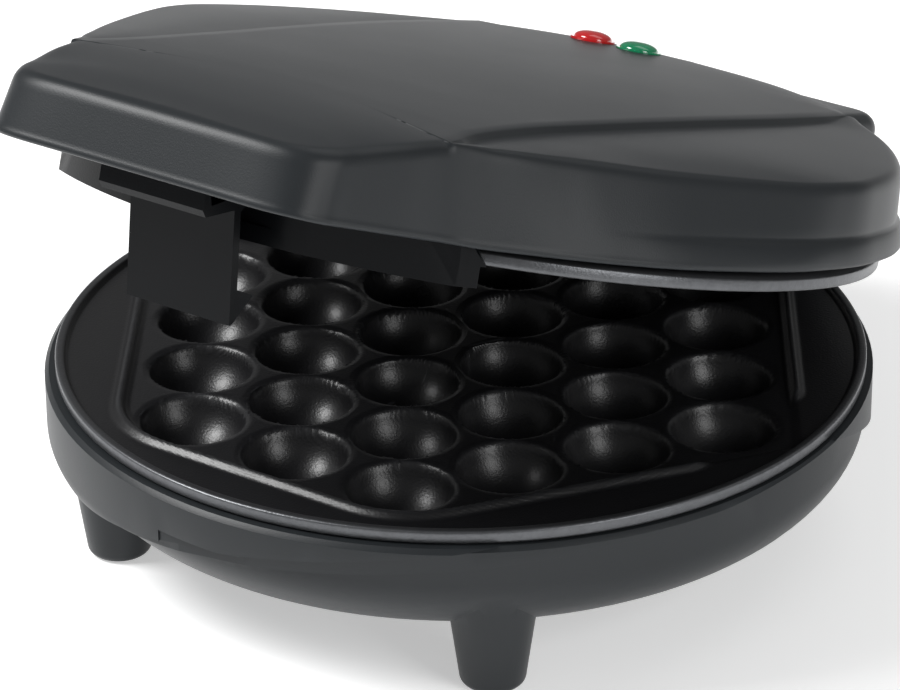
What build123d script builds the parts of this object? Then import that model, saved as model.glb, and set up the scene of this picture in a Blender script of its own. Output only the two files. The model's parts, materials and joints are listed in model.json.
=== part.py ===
from build123d import *
import os
from math import cos, radians, sin

os.makedirs("parts", exist_ok=True)

# Bubble waffle maker: a round base on four feet, a shield-shaped lid hinged at
# the back, two cast plates with rows of round cups, and a hanging latch.
# Millimetres. X to the right, -Y to the front where the latch is, +Z up.
# Every piece is drawn about the plate's axis with the lid shut, then placed.

# Overall sizes
plate_radius = 110.0        # outer edge of both cast plates
rim_height = 51.0           # plane where the plates meet, above the table
lid_angle_at_rest = 17.7    # how far the lid stands open as stored
centre_offset_y = -9.17     # moves the plate's axis so that the footprint is centred
running_gap = 0.05          # radial clearance of a pin that turns in its hole
free_gap = 0.4              # clearance between pieces that only pass each other
closing_gap = 0.3           # between the two plates when the lid is shut

# Cast plates
rim_band = 3.4              # height of the machined edge
rim_width = 3.2             # flat top of the outer rim
gutter_depth = 1.7          # overflow channel inside the rim
ridge_width = 4.6           # bead round the baking field
ridge_round = 0.7
field_depth = 2.5           # web of the waffle, half its thickness
front_field = 95.3          # centre to the outside of the front and back beads
slant_field = 92.1          # centre to the outside of the four slanted beads
slant_angle = 33.84         # direction of the slanted beads' normals from X
bead_end_x = 93.0           # the beads stop here and leave a spout at each side corner
bead_corner_radius = 9.0
cup_pitch = 33.6            # cup to cup along a row
cup_row_spacing = 25.0
cup_mouth_radius = 14.4
cup_depth = 12.5
cup_sides = 12              # facets round a cup, few because there are sixty
plate_wall = 2.8
plate_skirt_radius = 106.0  # the part of a plate that drops into its housing
plate_skirt_wall = 3.0
plate_skirt_depth = 9.0
plate_boss_radius = 4.0     # screw posts behind each plate, in line with the feet
screw_hold = 5.0            # length of screw inside a post

# Base housing
housing_wall = 2.5
housing_top_gap = 0.4       # shadow line between the plate's edge and the housing
top_bevel = 1.2
bowl_radius = 110.2         # belly on the right and at the back
bowl_straight = 15.2        # depth below the rim plane where the belly starts to turn in
bowl_floor_radius = 69.0
bowl_depth = 39.3
apron_radius = 113.0        # fuller belly at the front and left
apron_straight = 18.7
apron_floor_radius = 76.0
apron_depth = 36.7
upper_crease_drop = 14.8    # below the rim plane at the front centre
crease_slope = 0.155        # the two crease lines climb to the right
leaf_height = 2.6           # strip between the two crease lines
leaf_slope = 0.116
leaf_relief = 1.2           # depth of each crease
collar_radius = 111.8       # band that widens towards the back
collar_start_y = 12.0       # where the band leaves the housing's top edge
collar_slope = 0.35
collar_depth = 18.5
catch_drop = 14.2           # level ledge at the front that the latch's hook goes under
catch_height = 7.0
catch_depth = 1.7
foot_x = 61.5
foot_y = 74.0
foot_tip_radius = 8.4
foot_tip_round = 2.6
foot_height = 30.0
foot_draft = 8.0
housing_boss_margin = 1.5
screw_seat = 15.7           # height of the screw heads' seat above the table
vent_length = 26.0
vent_width = 3.0
vent_pitch = 8.0
vent_count = 5

# Hinge
hinge_y = 136.7             # hinge axis behind the plate's axis, on the rim plane
hinge_barrel_radius = 8.0
hinge_tower_half_width = 39.6
hinge_pin_radius = 2.5
hinge_pin_length = 14.0
hinge_pin_reach = 3.2       # into each cheek of the lid
tower_root_y = 98.0         # the tower grows out of the housing here
tower_root_top = -9.0
tower_foot_y = 106.0
tower_foot = -30.0
lid_stop_gap = 0.8          # face under the barrel where the open lid comes to rest
lid_stop_height = 3.6
duct_y = 120.0              # passage for the lid's leads
duct_width = 10.0

# Lid cover
lid_wall = 2.5
lid_body_radius = 112.7     # round part of the skirt, at the rim plane
lid_skirt_bottom = 3.4      # above the rim plane, round the back and sides
lid_draft = 6.7
handle_front = 153.6        # plate's axis to the front face of the handle
handle_corner_x = 50.5
handle_corner_radius = 13.0
shoulder_x = 73.0
shoulder_y = 108.0
shoulder_radius = 60.0
waist_x = 79.4              # the handle's sides run to here, inside the round skirt
waist_y = 71.0
waist_radius = 26.0
handle_lift = 11.0          # skirt's bottom edge at the handle, above the rim plane
handle_lift_y = 143.0
deck_crown = 34.9           # highest point of the deck above the rim plane
deck_crown_y = 32.6
deck_radius_x = 917.0       # curve of the deck from side to side
deck_radius_y = 2037.0      # and from front to back
shoulder_crown = 36.2       # the lower shoulders have a dome of their own
shoulder_crown_y = 39.9
shoulder_dome_radius_x = 600.0
lip_radius = 4.2            # round bead along the bottom of the skirt
lip_centre_radius = 110.0
lip_height = 6.6
rebate_radius = 110.6       # room for the upper plate's edge
rebate_height = 5.0
hump_half_width = 44.0      # lid's cover over the hinge
hump_front = 60.0
hump_rear = 147.5
hump_height = 26.0
hump_bottom = 1.0
hump_wall = 2.5
hump_cavity_half_width = 40.0
hump_corner = 10.0
hump_inner_corner = 0.6
cheek_radius = 7.0

# Lid's inner frame with the apron in front of the plates
frame_wall = 2.4
frame_gap = 0.3
frame_ring_inner = 106.6
frame_ring_outer = 108.3
frame_ring_bottom = 5.2
frame_ring_top = 12.0
apron_arc_radius = 118.6
apron_arc_half_angle = 31.0
apron_bottom = -4.4
apron_return_radius = 111.4
apron_return_bottom = 1.0
web_height = 11.0           # underside of the handle's closing panel
pocket_half_width = 18.6    # hollow over the latch, inside
pocket_front = 146.3
pocket_rear = 117.5
pocket_height = 22.0
pocket_wall = 1.8
lug_radius = 6.0

# Latch, measured from its pin along and across its hanging plate
latch_width = 32.0
latch_wall = 2.6
latch_pivot_y = -122.5
latch_pivot_z = 13.0        # above the rim plane, lid shut
latch_lean = 10.8           # lean of the hanging latch against the lid
latch_pin_radius = 1.6
latch_barrel_radius = 3.2
latch_face = 10.7           # pin to the front of the plate
latch_bend = 6.1            # pin down to the plate's top bend
latch_bottom = 35.9         # pin down to the bottom of the hook
hook_tip_forward = 1.4
hook_tip_down = 30.3
hook_root_down = 27.3
grip_front = 23.4
grip_rise = 2.3
grip_thickness = 3.4

# Indicator lamps
lamp_pair_x = -20.0
lamp_spacing = 15.7
lamp_y = 94.5
lens_stem_radius = 4.5
lens_stem_length = 5.0
lens_flange_radius = 6.6
lens_flange_height = 1.2
lens_dome_radius = 5.6
lens_dome_height = 3.4
lens_tip_radius = 0.5       # small flat at the top of the dome
lamp_seat = 33.4            # flat under each lens, above the rim plane
lamp_bulb_radius = 3.0
lamp_bulb_length = 12.0

# Heating and control
element_radius = 3.0
element_ring_radius = 72.0
element_open_half_angle = 24.0
element_clearance = 0.3
terminal_length = 22.0
terminal_radius = 1.5
clamp_angles = (-35.0, 145.0, 215.0)
clamp_thickness = 1.2
clamp_width = 6.4
clamp_inner = 66.0
clamp_post_at = 96.0
clamp_post_radius = 3.0
reflector_radius = 80.0
reflector_hole = 12.0
reflector_wall = 0.8
thermostat_at = 93.6
thermostat_angle = 34.1
thermostat_radius = 8.0
thermostat_height = 7.0
tab_length = 4.0
fuse_x = 16.8
fuse_y = 95.0
fuse_radius = 2.0
fuse_length = 11.0
gland_angle = 165.0         # direction of the cord inlet, left of the hinge
gland_drop = 11.2
gland_radius = 5.0
gland_bore_radius = 3.2
gland_flange = 2.0
gland_lip = 1.2
block_radius = 89.0
block_drop = 25.0
block_depth = 9.0
block_length = 24.0
block_height = 7.0
block_pad = 8.5             # pad of the housing under the terminal block
lead_radius = 1.2
lead_spacing = 3.6

# Fasteners
screw_radius = 1.6
screw_gap = 0.15
screw_head_radius = 3.2
screw_head_height = 2.2
lid_screw_hold = 7.0
lid_screw_front = (45.0, -134.0)
lid_screw_rear = (30.0, 116.0)
lid_boss_radius = 3.6
lid_screw_front_top = 25.5  # the front posts end inside the deck's wall


def level(z):
    # horizontal plane at a height above the rim plane
    return Plane.XY.offset(rim_height + z)


def polar(radius, angle):
    return (radius * cos(radians(angle)), radius * sin(radians(angle)))


upright = Plane((0, 0, rim_height), x_dir=(1, 0, 0), z_dir=(0, -1, 0))
side_view = Plane((0, 0, rim_height), x_dir=(0, 1, 0), z_dir=(1, 0, 0))
plate_axis = Axis((0, 0, 0), (0, 0, 1))
foot_places = [(x, y) for x in (-foot_x, foot_x) for y in (-foot_y, foot_y)]


def cup_centres():
    places = []
    for row in range(-3, 4):
        cups = 6 - abs(row)
        for cup in range(cups):
            places.append(((cup - (cups - 1) / 2) * cup_pitch, row * cup_row_spacing))
    return places


def field_corners(inset):
    # corners of the six-sided baking field, moved in by inset
    front = front_field - inset
    slant = slant_field - inset
    corner_x = (slant - front * sin(radians(slant_angle))) / cos(radians(slant_angle))
    side_x = slant / cos(radians(slant_angle))
    return [
        (corner_x, -front), (side_x, 0), (corner_x, front),
        (-corner_x, front), (-side_x, 0), (-corner_x, -front),
    ]


def field_outline(inset):
    # rounded six-sided outline that stays inside the gutter's round edge
    with BuildSketch() as outline:
        Polygon(*field_corners(inset), align=None)
        fillet(outline.vertices(), max(bead_corner_radius - inset, 2))
        Circle(plate_radius - rim_width - 1.5, mode=Mode.INTERSECT)
    return outline.sketch


def cup_form(sections):
    # faceted bowl through polygons given as (depth, radius)
    with BuildPart() as form:
        for depth, radius in sections:
            with BuildSketch(Plane.XY.offset(-depth)):
                RegularPolygon(radius, cup_sides)
        loft(ruled=True)
    return form


# Hollow of one cup, and the metal round it that stands below the plate
cup_hollow = cup_form([
    (0, cup_mouth_radius), (0.5 * cup_depth, 0.86 * cup_mouth_radius),
    (0.87 * cup_depth, 0.52 * cup_mouth_radius), (cup_depth, 0.2 * cup_mouth_radius),
])
cup_shell = cup_form([
    (0, cup_mouth_radius + plate_wall), (0.75 * cup_depth, 0.9 * cup_mouth_radius),
    (cup_depth, 0.4 * cup_mouth_radius),
])
plate_underside = -field_depth - plate_wall


def cast_plate():
    # one plate with its cups sinking below the rim plane, screw posts beneath
    with BuildPart() as plate:
        with BuildSketch(upright):
            with BuildLine():
                Polyline(
                    (0, -gutter_depth), (plate_radius - rim_width, -gutter_depth),
                    (plate_radius - rim_width + 0.8, 0), (plate_radius - 0.6, 0),
                    (plate_radius, -0.6), (plate_radius, -rim_band),
                    (plate_skirt_radius, -rim_band), (plate_skirt_radius, -plate_skirt_depth),
                    (plate_skirt_radius - plate_skirt_wall, -plate_skirt_depth),
                    (plate_skirt_radius - plate_skirt_wall, plate_underside),
                    (0, plate_underside), (0, -gutter_depth),
                )
            make_face()
        revolve(axis=plate_axis)
        with BuildSketch(level(-gutter_depth)):
            add(field_outline(0))
            add(field_outline(ridge_width), mode=Mode.SUBTRACT)
            Rectangle(2 * bead_end_x, 4 * plate_radius, mode=Mode.INTERSECT)
        extrude(amount=gutter_depth)
        bead_tops = plate.faces().filter_by(Axis.Z).group_by(Axis.Z)[-1]
        fillet(bead_tops.edges().filter_by(
            lambda edge: edge.center().X ** 2 + edge.center().Y ** 2 < (plate_radius - rim_width - 1) ** 2
        ), ridge_round)
        with BuildSketch(level(0)):
            add(field_outline(ridge_width))
        extrude(amount=-field_depth, mode=Mode.SUBTRACT)
        with Locations(*[(x, y, rim_height + plate_underside) for x, y in cup_centres()]):
            add(cup_shell.part)
        with Locations(*[(x, y, rim_height - field_depth) for x, y in cup_centres()]):
            add(cup_hollow.part, mode=Mode.SUBTRACT)
        with BuildSketch(level(-plate_skirt_depth)):
            with Locations(*foot_places):
                Circle(plate_boss_radius)
        extrude(amount=plate_skirt_depth + plate_underside)
        with BuildSketch(level(-plate_skirt_depth)):
            with Locations(*foot_places):
                Circle(screw_radius)
        extrude(amount=screw_hold, mode=Mode.SUBTRACT)
    return plate


def mirrored(piece):
    # the same piece on the lid's side of the gap between the plates
    with BuildPart() as copy:
        mirror(piece.part, about=level(closing_gap / 2))
    return copy


def revolved_bowl(radius, straight, floor_radius, depth, top):
    # solid of a bowl: a straight belly that turns in to a flat floor
    with BuildPart() as solid:
        with BuildSketch(upright):
            with BuildLine():
                Polyline(
                    (0, -depth), (0, top), (radius - top_bevel, top), (radius, top - top_bevel),
                    (radius, -straight),
                )
                EllipticalCenterArc(
                    (floor_radius, -straight), radius - floor_radius, depth - straight,
                    start_angle=-90, arc_size=90,
                )
                Line((floor_radius, -depth), (0, -depth))
            make_face()
        revolve(axis=plate_axis)
    return solid


def above_plane(height, slope_x, slope_y):
    # large block above a sloping plane, given by its height on the plate's axis
    with BuildPart() as block:
        with BuildSketch(Plane((0, 0, rim_height + height), z_dir=(-slope_x, -slope_y, 1))):
            Rectangle(4 * plate_radius, 4 * plate_radius)
        extrude(amount=2 * plate_radius)
    return block


def kept_above(layer, block):
    # what a layer of the housing keeps above its crease line
    with BuildPart() as kept:
        add(layer.part)
        add(block.part, mode=Mode.INTERSECT)
    return kept


lower_plate = cast_plate()
lower_plate.part.label = "lower_plate"
upper_plate = mirrored(lower_plate)
upper_plate.part.label = "upper_plate"

# Layers of the base housing
housing_top = -rim_band - housing_top_gap
bowl = revolved_bowl(bowl_radius, bowl_straight, bowl_floor_radius, bowl_depth, housing_top)
apron = revolved_bowl(apron_radius, apron_straight, apron_floor_radius, apron_depth, housing_top)
leaf = revolved_bowl(
    apron_radius - leaf_relief, apron_straight, apron_floor_radius - leaf_relief,
    apron_depth - leaf_relief, housing_top,
)
hollow = revolved_bowl(
    bowl_radius - housing_wall, bowl_straight, bowl_floor_radius - housing_wall,
    bowl_depth - housing_wall, 0,
)
apron_layer = kept_above(apron, above_plane(-upper_crease_drop, crease_slope, 0))
leaf_layer = kept_above(leaf, above_plane(-upper_crease_drop - leaf_height, leaf_slope, 0))

with BuildPart() as collar:
    with BuildSketch(level(-collar_depth)):
        Circle(collar_radius)
        Circle(bowl_radius - housing_wall, mode=Mode.SUBTRACT)
    extrude(amount=collar_depth + housing_top)
collar_layer = kept_above(
    collar, above_plane(housing_top + collar_slope * collar_start_y, 0, -collar_slope),
)

gland_pose = Location(Plane(
    (*polar(apron_radius, gland_angle), rim_height - gland_drop),
    x_dir=(0, 0, -1), z_dir=(*polar(1, gland_angle), 0),
))
block_plane = Plane(
    (*polar(block_radius, gland_angle), rim_height - block_drop),
    x_dir=(*polar(1, gland_angle), 0), z_dir=(0, 0, 1),
)
hinge_pin_centre = hinge_tower_half_width + hinge_pin_reach - hinge_pin_length / 2
hinge_pin_places = [
    Location((side * hinge_pin_centre, hinge_y, rim_height), (0, 90, 0)) for side in (-1, 1)
]

# Base housing: bowl, front apron, collar, feet and hinge tower in one moulding
with BuildPart() as base_housing:
    add(bowl.part)
    add(collar_layer.part)
    add(leaf_layer.part)
    add(apron_layer.part)
    with BuildSketch(level(-catch_drop - catch_height)):
        with Locations((0, catch_depth - apron_radius)):
            Rectangle(latch_width + 4 * free_gap, apron_radius / 10, align=(Align.CENTER, Align.MAX))
    extrude(amount=catch_height, mode=Mode.SUBTRACT)
    with BuildSketch(Plane.XY):
        with Locations(*foot_places):
            Circle(foot_tip_radius)
    extrude(amount=foot_height, taper=-foot_draft)
    fillet(base_housing.faces().sort_by(Axis.Z)[:4].edges(), foot_tip_round)
    with BuildSketch(side_view):
        Polygon(
            (tower_root_y, tower_root_top), (hinge_y - hinge_barrel_radius, -1),
            (hinge_y, 0), (hinge_y - lid_stop_gap, 0.3 - hinge_barrel_radius),
            (hinge_y - lid_stop_gap, -hinge_barrel_radius - lid_stop_height),
            (tower_foot_y, tower_foot), (tower_root_y, tower_foot), align=None,
        )
        with Locations((hinge_y, 0)):
            Circle(hinge_barrel_radius)
    extrude(amount=hinge_tower_half_width, both=True)
    add(hollow.part, mode=Mode.SUBTRACT)
    with BuildSketch(level(-bowl_depth + housing_wall / 2)):
        with Locations(*foot_places):
            Circle(plate_boss_radius + housing_boss_margin)
    extrude(amount=bowl_depth - housing_wall / 2 - plate_skirt_depth)
    with BuildSketch(block_plane):
        Rectangle(block_depth, block_length)
    extrude(amount=-block_pad)
    with BuildSketch(Plane.XY):
        with Locations(*foot_places):
            Circle(screw_head_radius + free_gap)
    extrude(amount=screw_seat, mode=Mode.SUBTRACT)
    with BuildSketch(Plane.XY):
        with Locations(*foot_places):
            Circle(screw_radius + screw_gap)
    extrude(amount=rim_height, mode=Mode.SUBTRACT)
    with BuildSketch(Plane.XY):
        with GridLocations(0, vent_pitch, 1, vent_count):
            SlotOverall(vent_length, vent_width)
    extrude(amount=rim_height - bowl_depth + housing_wall, mode=Mode.SUBTRACT)
    with BuildSketch(side_view):
        Polygon(
            (tower_root_y - 4, -23), (duct_y - 4, -13), (duct_y + 5, 2), (duct_y - 5, 2),
            (tower_root_y + 6, -10), (tower_root_y - 4, -14), align=None,
        )
    extrude(amount=duct_width / 2, both=True, mode=Mode.SUBTRACT)
    with Locations(*hinge_pin_places):
        Cylinder(hinge_pin_radius, hinge_pin_length, mode=Mode.SUBTRACT)
    with Locations(gland_pose):
        Cylinder(gland_radius, 6 * housing_wall, mode=Mode.SUBTRACT)
base_housing.part.label = "base_housing"

with BuildPart() as hinge_pins:
    with Locations(*hinge_pin_places):
        Cylinder(hinge_pin_radius, hinge_pin_length)
    chamfer(hinge_pins.edges(), 0.4)
hinge_pins.part.label = "hinge_pins"


def screws(places, seat, length, up):
    # pan-head screws whose heads bear on the seat height and whose shanks point up or down
    way = 1 if up else -1
    with BuildPart() as fasteners:
        with BuildSketch(Plane.XY.offset(seat)):
            with Locations(*places):
                Circle(screw_radius)
        extrude(amount=way * length)
        with BuildSketch(Plane.XY.offset(seat)):
            with Locations(*places):
                Circle(screw_head_radius)
        extrude(amount=-way * screw_head_height)
        fillet(fasteners.faces().sort_by(Axis.Z)[:4].edges() if up
               else fasteners.faces().sort_by(Axis.Z)[-4:].edges(), 0.8)
    return fasteners


lower_post_end = rim_height - plate_skirt_depth
lower_plate_screws = screws(foot_places, screw_seat, lower_post_end + screw_hold - screw_seat, True)
lower_plate_screws.part.label = "lower_plate_screws"

# Heating under the plate, drawn below the rim plane and mirrored for the lid
element_level = plate_underside - cup_depth - element_clearance - element_radius
clamp_level = element_level - element_radius
reflector_level = clamp_level - clamp_thickness

with BuildPart() as lower_heating_element:
    first = 90 + element_open_half_angle
    with BuildSketch(Plane(
        (0, 0, rim_height + element_level),
        x_dir=(*polar(1, first), 0), z_dir=(*polar(1, first - 90), 0),
    )):
        with Locations((element_ring_radius, 0)):
            Circle(element_radius)
    revolve(axis=plate_axis, revolution_arc=360 - 2 * element_open_half_angle)
    for end in (90 - element_open_half_angle, 90 + element_open_half_angle):
        x, y = polar(element_ring_radius, end)
        with Locations(Location((x, y + terminal_length / 2, rim_height + element_level), (90, 0, 0))):
            Cylinder(terminal_radius, terminal_length)
lower_heating_element.part.label = "lower_heating_element"

with BuildPart() as lower_element_clamps:
    for angle in clamp_angles:
        with BuildSketch(level(reflector_level)):
            with Locations(Location((*polar((clamp_post_at + clamp_inner) / 2, angle), 0), angle)):
                SlotCenterToCenter(clamp_post_at - clamp_inner, clamp_width)
        extrude(amount=clamp_thickness)
        with BuildSketch(level(clamp_level)):
            with Locations(polar(clamp_post_at, angle)):
                Circle(clamp_post_radius)
        extrude(amount=plate_underside - clamp_level)
lower_element_clamps.part.label = "lower_element_clamps"

with BuildPart() as lower_reflector:
    with BuildSketch(level(reflector_level - reflector_wall)):
        Circle(reflector_radius)
        Circle(reflector_hole, mode=Mode.SUBTRACT)
    extrude(amount=reflector_wall)
lower_reflector.part.label = "lower_reflector"

with BuildPart() as lower_thermostat:
    thermostat_place = polar(thermostat_at, thermostat_angle)
    with BuildSketch(level(plate_underside)):
        with Locations(thermostat_place):
            Circle(thermostat_radius)
    extrude(amount=-thermostat_height)
    fillet(lower_thermostat.faces().sort_by(Axis.Z)[0].edges(), 1)
    with BuildSketch(level(plate_underside - thermostat_height)):
        with Locations(thermostat_place):
            with GridLocations(thermostat_radius, 0, 2, 1):
                Rectangle(0.8, 5)
    extrude(amount=-tab_length)
lower_thermostat.part.label = "lower_thermostat"

with BuildPart() as thermal_fuse:
    with Locations(Location((-fuse_x, fuse_y, rim_height + plate_underside - fuse_radius), (0, 90, 0))):
        Cylinder(fuse_radius, fuse_length)
        Cylinder(fuse_radius / 3, 1.6 * fuse_length)
thermal_fuse.part.label = "thermal_fuse"

upper_heating_element = mirrored(lower_heating_element)
upper_heating_element.part.label = "upper_heating_element"
upper_element_clamps = mirrored(lower_element_clamps)
upper_element_clamps.part.label = "upper_element_clamps"
upper_reflector = mirrored(lower_reflector)
upper_reflector.part.label = "upper_reflector"
upper_thermostat = mirrored(lower_thermostat)
upper_thermostat.part.label = "upper_thermostat"

# Cord inlet, terminal block and leads in the base
with BuildPart() as cord_gland:
    with Locations(gland_pose):
        Cylinder(gland_radius, apron_radius - bowl_radius + housing_wall + gland_lip,
                 align=(Align.CENTER, Align.CENTER, Align.MAX))
        Cylinder(gland_radius + 1.5, gland_flange, align=(Align.CENTER, Align.CENTER, Align.MIN))
        Cylinder(gland_bore_radius, 10 * gland_flange, mode=Mode.SUBTRACT)
cord_gland.part.label = "cord_gland"

with BuildPart() as terminal_block:
    with BuildSketch(block_plane):
        Rectangle(block_depth, block_length)
    extrude(amount=block_height)
    with BuildSketch(block_plane.offset(block_height)):
        with GridLocations(0, block_length / 3, 1, 3):
            Circle(2)
    extrude(amount=-2, mode=Mode.SUBTRACT)
terminal_block.part.label = "terminal_block"

with BuildPart() as base_leads:
    for side in (-1, 1):
        lead_plane = Plane(
            (0, 0, rim_height), x_dir=(*polar(1, gland_angle), 0), z_dir=(*polar(1, gland_angle - 90), 0),
        ).offset(side * lead_spacing / 2)
        with BuildLine(lead_plane) as route:
            FilletPolyline(
                (bowl_radius - housing_wall - gland_lip, -gland_drop), (block_radius, -gland_drop),
                (block_radius, -block_drop + block_height), radius=3,
            )
        with BuildSketch(Plane(route.line @ 0, z_dir=route.line % 0)):
            Circle(lead_radius)
        sweep(path=route.line)
base_leads.part.label = "base_leads"


def lid_plan(inset):
    # outline of the lid at the rim plane: a circle that grows into the handle
    with BuildSketch() as handle:
        Polygon(
            (-handle_corner_x, -handle_front), (handle_corner_x, -handle_front),
            (shoulder_x, -shoulder_y), (waist_x, -waist_y), (0, 0), (-waist_x, -waist_y),
            (-shoulder_x, -shoulder_y), align=None,
        )
        fillet(handle.vertices().group_by(Axis.Y)[0], handle_corner_radius)
        fillet(handle.vertices().filter_by(lambda corner: abs(corner.Y + shoulder_y) < 1), shoulder_radius)
    with BuildSketch() as plan:
        add(handle.sketch)
        Circle(lid_body_radius)
        fillet(plan.vertices().sort_by(Axis.Y).filter_by(
            lambda corner: abs(corner.X ** 2 + corner.Y ** 2 - lid_body_radius ** 2) < 1
        ), waist_radius)
        if inset:
            offset(amount=-inset)
    return plan.sketch


def lid_form(inset):
    # tapered prism on the outline, from below the rim plane to above the deck
    with BuildPart() as form:
        with BuildSketch(level(0)):
            add(lid_plan(inset))
        extrude(amount=deck_crown + 10, taper=lid_draft)
    return form


def under_dome(crown, crown_y, radius_x):
    # block below a gently domed deck, curved in both directions
    spread = 6
    pivot = (0, crown_y, rim_height + crown - deck_radius_y)
    with BuildPart() as block:
        with BuildSketch(Plane(
            pivot, x_dir=(1, 0, 0), z_dir=(0, -cos(radians(spread)), sin(radians(spread))),
        )):
            with BuildLine():
                edge = plate_radius + 30
                sag = radius_x - (radius_x ** 2 - edge ** 2) ** 0.5
                ThreePointArc(
                    (-edge, deck_radius_y - sag), (0, deck_radius_y), (edge, deck_radius_y - sag),
                )
                Polyline(
                    (edge, deck_radius_y - sag), (edge, deck_radius_y - 90),
                    (-edge, deck_radius_y - 90), (-edge, deck_radius_y - sag),
                )
            make_face()
        revolve(axis=Axis(pivot, (1, 0, 0)), revolution_arc=2 * spread)
    return block


def domed_lid(inset):
    # the lid's outer form, or its inside when inset by the wall
    with BuildPart() as form:
        add(lid_form(inset).part)
        for crown, crown_y, radius_x in (
            (deck_crown, deck_crown_y, deck_radius_x),
            (shoulder_crown, shoulder_crown_y, shoulder_dome_radius_x),
        ):
            add(under_dome(crown - inset, crown_y, radius_x).part, mode=Mode.INTERSECT)
    return form


def hump_form(half_width, front, rear, bottom, top, corner):
    # rounded block over the hinge, outside or inside
    with BuildPart() as form:
        with BuildSketch(level(bottom)):
            with Locations((0, (front + rear) / 2)):
                Rectangle(2 * half_width, rear - front)
        extrude(amount=top - bottom)
        fillet(form.edges().filter_by(Axis.Z).group_by(Axis.Y)[-1], corner)
        fillet(form.faces().sort_by(Axis.Z)[-1].edges(), corner / 2)
    return form


lamp_places = [(lamp_pair_x + side * lamp_spacing / 2, lamp_y) for side in (-1, 1)]
outer_lid = domed_lid(0)
inner_lid = domed_lid(lid_wall)
outer_hump = hump_form(hump_half_width, hump_front, hump_rear, hump_bottom, hump_height, hump_corner)
inner_hump = hump_form(
    hump_cavity_half_width, hump_front, hump_rear - hump_wall, -lid_wall,
    hump_height - hump_wall, hump_inner_corner,
)

lid_screw_posts = [
    (side * x, y, top) for x, y, top in (
        (*lid_screw_front, lid_screw_front_top), (*lid_screw_rear, hump_height - hump_wall / 2),
    ) for side in (-1, 1)
]

# Lid cover: domed shell with the handle's top, the lip and the cover over the hinge
with BuildPart() as lid_cover:
    add(outer_lid.part)
    with BuildSketch(upright):
        with Locations((lip_centre_radius, lip_height)):
            Circle(lip_radius)
    revolve(axis=plate_axis)
    add(outer_hump.part)
    add(inner_lid.part, mode=Mode.SUBTRACT)
    add(inner_hump.part, mode=Mode.SUBTRACT)
    with BuildSketch(level(-lip_radius)):
        Circle(rebate_radius)
    extrude(amount=lip_radius + rebate_height, mode=Mode.SUBTRACT)
    with BuildSketch(side_view):
        Polygon(
            (-2 * handle_front, -lip_radius), (-2 * handle_front, handle_lift),
            (-handle_lift_y, handle_lift), (-waist_y, lid_skirt_bottom), (-waist_y, -lip_radius),
            align=None,
        )
    extrude(amount=handle_front, both=True, mode=Mode.SUBTRACT)
    with Locations(*[
        Location((side * (hump_half_width + hump_cavity_half_width) / 2, hinge_y, rim_height), (0, 90, 0))
        for side in (-1, 1)
    ]):
        Cylinder(cheek_radius, hump_half_width - hump_cavity_half_width)
    with Locations(*hinge_pin_places):
        Cylinder(hinge_pin_radius + running_gap, hinge_pin_length + 4 * running_gap, mode=Mode.SUBTRACT)
    for x, y, top in lid_screw_posts:
        with BuildSketch(level(web_height + frame_wall)):
            with Locations((x, y)):
                Circle(lid_boss_radius)
                Circle(screw_radius, mode=Mode.SUBTRACT)
        extrude(amount=top - web_height - frame_wall)
    with BuildSketch(level(lamp_seat)):
        with Locations(*lamp_places):
            Circle(lens_flange_radius + free_gap / 2)
    extrude(amount=deck_crown, mode=Mode.SUBTRACT)
    with BuildSketch(level(lamp_seat)):
        with Locations(*lamp_places):
            Circle(lens_stem_radius)
    extrude(amount=-2 * lid_wall, mode=Mode.SUBTRACT)
lid_cover.part.label = "lid_cover"

# Inner frame: ring round the upper plate, closing panel of the handle, apron and latch pocket
closing_panel = lid_form(lid_wall + frame_gap)
with BuildPart() as panel_band:
    add(closing_panel.part)
    with BuildSketch(level(web_height)):
        Rectangle(4 * plate_radius, 4 * plate_radius)
    extrude(amount=frame_wall, mode=Mode.INTERSECT)
    with BuildSketch(level(0)):
        Circle(frame_ring_inner)
    extrude(amount=deck_crown, mode=Mode.SUBTRACT)
    with BuildSketch(level(0)):
        with Locations((0, plate_radius - waist_y)):
            Rectangle(4 * plate_radius, 2 * plate_radius)
    extrude(amount=deck_crown, mode=Mode.SUBTRACT)

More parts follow.
